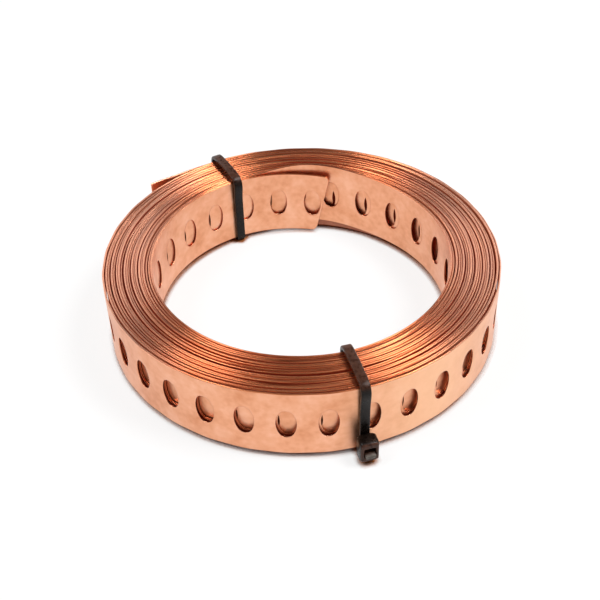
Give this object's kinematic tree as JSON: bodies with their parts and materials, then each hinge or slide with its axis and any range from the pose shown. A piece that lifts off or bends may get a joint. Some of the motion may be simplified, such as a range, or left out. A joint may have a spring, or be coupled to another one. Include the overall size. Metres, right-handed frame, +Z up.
{
  "type": "coil of perforated copper earth bonding strip",
  "caption": "Flat ring-shaped coil of thin perforated copper strip for earth bonding, with oval holes along its middle, held closed by cable ties.",
  "frame": {"origin": "on the coil's axis, level with the undersides of the ties that it rests on", "axes": "+Z up along the coil's axis; -Y towards the viewer of the picture, where the front tie is; +X to the viewer's right"},
  "size_m": [0.105, 0.1092, 0.0232],
  "materials": {
    "copper": "bare rolled copper, satin",
    "nylon": "moulded, slightly glossy"
  },
  "bodies": {
    "root": {"strip_coil": "copper", "front_tie": "nylon", "rear_tie": "nylon"}
  },
  "joints": []
}
